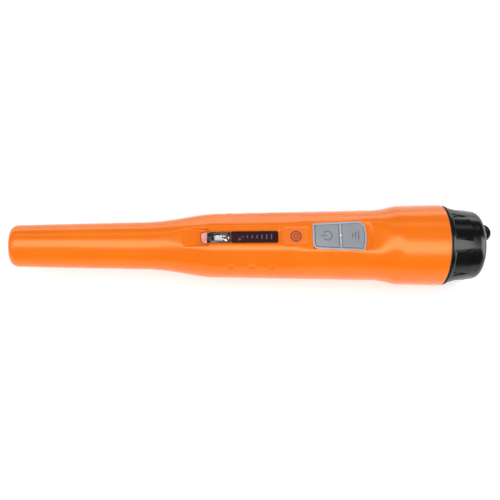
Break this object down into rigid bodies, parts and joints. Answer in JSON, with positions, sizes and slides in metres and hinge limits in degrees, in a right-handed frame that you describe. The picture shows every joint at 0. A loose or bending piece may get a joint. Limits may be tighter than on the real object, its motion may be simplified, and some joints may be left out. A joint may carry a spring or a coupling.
{
  "type": "pinpointer probe",
  "caption": "Hand-held pinpointing metal detector: slim sensing probe, flat control face with window and keys, screw-on ribbed battery cap with a lanyard eye.",
  "frame": {"origin": "centre of the flat face at the probe's tip", "axes": "+X along the probe from the tip to the battery cap, +Z out of the control face, +Y to its left seen from behind the cap"},
  "size_m": [0.2275, 0.0384, 0.0384],
  "materials": {
    "orange_shell": "satin",
    "cap_black": "satin",
    "key_grey": "matte",
    "bezel_grey": "satin",
    "window_smoke": "gloss",
    "lens_clear": "gloss",
    "label_orange": "matte",
    "light_guide": "gloss",
    "gasket_black": "matte",
    "foam_black": "matte",
    "ferrite": "matte",
    "copper_wire": "satin",
    "white_nylon": "satin",
    "shield_film": "satin",
    "board_green": "satin",
    "chip_black": "matte",
    "steel": "brushed",
    "led_clear": "gloss",
    "brass_disc": "satin",
    "lead_red": "satin",
    "battery_jacket": "satin",
    "cell_sleeve": "satin"
  },
  "bodies": {
    "housing": {"body_shell": "orange_shell", "torch_lens": "lens_clear", "window_plate": "window_smoke", "front_label": "label_orange", "keypad_bezel": "bezel_grey", "keypad_light": "light_guide", "tip_cushion": "foam_black", "ferrite_rod": "ferrite", "coil_former": "white_nylon", "transmit_coil": "copper_wire", "receive_coil": "copper_wire", "centring_rings": "white_nylon", "faraday_shield": "shield_film", "coil_leads": "copper_wire", "sled": "white_nylon", "main_board": "board_green", "microcontroller": "chip_black", "amplifier_chips": "chip_black", "capacitors": "chip_black", "crystal": "steel", "power_inductor": "ferrite", "tact_switches": "chip_black", "torch_led": "led_clear", "status_leds": "led_clear", "board_screws": "steel", "buzzer_case": "chip_black", "buzzer_disc": "brass_disc", "motor_can": "steel", "contact_board": "board_green", "snap_contacts": "steel", "battery_leads": "lead_red", "battery_case": "battery_jacket", "battery_cells": "cell_sleeve", "battery_terminals": "steel"},
    "power_key": {"power_button": "key_grey", "power_plunger": "white_nylon"},
    "mode_key": {"mode_button": "key_grey", "mode_plunger": "white_nylon"},
    "motor_rotor": {"motor_shaft": "steel", "motor_weight": "steel"},
    "press_pad": {"battery_pad": "foam_black", "slip_washer": "white_nylon"},
    "cap": {"battery_cap": "cap_black", "cap_gasket": "gasket_black", "lanyard_eye": "cap_black"}
  },
  "joints": [
    {"name": "power_press", "type": "slide", "parent": "housing", "child": "power_key", "axis": [0.0202, 0, -0.9998], "range_m": [0, 0.0007], "stiffness_N_per_m": 800},
    {"name": "mode_press", "type": "slide", "parent": "housing", "child": "mode_key", "axis": [0.0202, 0, -0.9998], "range_m": [0, 0.0007], "stiffness_N_per_m": 800},
    {"name": "motor_spin", "type": "hinge", "parent": "housing", "child": "motor_rotor", "pos_m": [0.13, -0.0055, 0.002], "axis": [1, 0, 0], "continuous": true},
    {"name": "cap_travel", "type": "slide", "parent": "housing", "child": "press_pad", "axis": [1, 0, 0], "range_m": [0, 0.0084]},
    {"name": "cap_turn", "type": "hinge", "parent": "press_pad", "child": "cap", "pos_m": [0.21, 0, 0], "axis": [1, 0, 0], "range_deg": [0, 120]}
  ],
  "couplings": [
    {"joint": "cap_travel", "follows": "cap_turn", "m_per_rad": 0.0040107}
  ]
}
